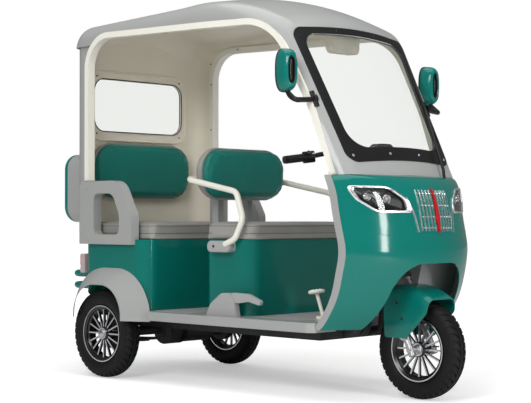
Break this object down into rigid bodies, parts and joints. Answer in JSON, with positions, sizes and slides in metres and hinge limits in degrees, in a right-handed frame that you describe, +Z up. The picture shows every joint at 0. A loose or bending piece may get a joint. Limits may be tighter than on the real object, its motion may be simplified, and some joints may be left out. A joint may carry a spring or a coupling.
{
  "type": "auto rickshaw",
  "caption": "Electric three-wheeled auto rickshaw: steered front wheel, driver seat, rear bench and a moulded canopy with a windshield, open at both sides.",
  "frame": {"origin": "on the ground, at the centre of the bounding box seen from above", "axes": "+X forward along the vehicle, +Y to its left, +Z up"},
  "size_m": [2.292, 1.08, 1.8258],
  "materials": {
    "tyre": "matt",
    "machined_alloy": "machined",
    "grey_paint": "satin",
    "teal_paint": "gloss",
    "cream_trim": "satin",
    "clear_glass": "clear",
    "black_trim": "satin",
    "black_steel": "satin",
    "red_lens": "clear",
    "battery_case": "matt",
    "grey_cover": "matt",
    "teal_cover": "satin",
    "bright_chrome": "polished",
    "bare_metal": "brushed"
  },
  "bodies": {
    "body": {"armrests": "grey_paint", "backrest_posts": "grey_paint", "battery_pack": "battery_case", "bench_backrest_band": "grey_cover", "bench_backrest_pad": "teal_cover", "brake_pedal": "bare_metal", "chassis_frame": "black_steel", "cluster": "black_trim", "cowl_liner": "grey_paint", "dashboard": "cream_trim", "driver_backrest_back": "grey_cover", "driver_backrest_pad": "teal_cover", "driver_seat_box": "teal_paint", "floor_pan": "grey_paint", "front_cowl": "teal_paint", "grille": "bright_chrome", "grille_ornament": "red_lens", "hand_brake": "bare_metal", "headlamp_bezels": "bright_chrome", "headlamp_lenses": "clear_glass", "leaf_springs": "black_steel", "mirror_arms": "black_trim", "mirror_heads": "teal_paint", "opening_trims": "cream_trim", "overhead_console": "cream_trim", "rear_axle": "black_steel", "rear_body": "teal_paint", "rear_box": "grey_paint", "rear_bumper": "teal_paint", "rear_fenders": "grey_paint", "rear_panel": "grey_paint", "rear_window": "clear_glass", "roof_lining": "cream_trim", "roof_shell": "grey_paint", "seat_rails": "cream_trim", "tail_lamps": "red_lens", "windshield": "clear_glass", "windshield_frame": "black_trim", "wiper": "black_trim"},
    "steering": {"fork": "bare_metal", "front_fender": "teal_paint", "handlebar": "black_trim"},
    "front_wheel": {"front_tyre": "tyre", "front_rim": "machined_alloy"},
    "rear_wheel_right": {"rear_tyre_right": "tyre", "rear_rim_right": "machined_alloy"},
    "rear_wheel_left": {"rear_tyre_left": "tyre", "rear_rim_left": "machined_alloy"},
    "driver_seat": {"driver_seat_cushion": "grey_cover"},
    "bench_seat": {"bench_cushion": "grey_cover"},
    "rear_box_cover": {"rear_box_lid": "teal_paint"}
  },
  "joints": [
    {"name": "steering", "type": "hinge", "parent": "body", "child": "steering", "pos_m": [0.93, 0, 0.216], "axis": [-0.4154, 0, 0.9096], "range_deg": [-35, 35]},
    {"name": "front_wheel_spin", "type": "hinge", "parent": "steering", "child": "front_wheel", "pos_m": [0.93, 0, 0.216], "axis": [0, 1, 0], "continuous": true},
    {"name": "rear_wheel_right_spin", "type": "hinge", "parent": "body", "child": "rear_wheel_right", "pos_m": [-0.696, -0.424, 0.216], "axis": [0, 1, 0], "continuous": true},
    {"name": "rear_wheel_left_spin", "type": "hinge", "parent": "body", "child": "rear_wheel_left", "pos_m": [-0.696, 0.424, 0.216], "axis": [0, 1, 0], "continuous": true},
    {"name": "driver_seat_lid", "type": "hinge", "parent": "body", "child": "driver_seat", "pos_m": [0.237, 0, 0.6865], "axis": [0, 1, 0], "range_deg": [0, 18]},
    {"name": "bench_seat_lid", "type": "hinge", "parent": "body", "child": "bench_seat", "pos_m": [-0.868, 0, 0.6815], "axis": [0, -1, 0], "range_deg": [0, 60]},
    {"name": "rear_box_lid_hinge", "type": "hinge", "parent": "body", "child": "rear_box_cover", "pos_m": [-1.126, 0, 1.122], "axis": [0, 1, 0], "range_deg": [0, 90]}
  ]
}
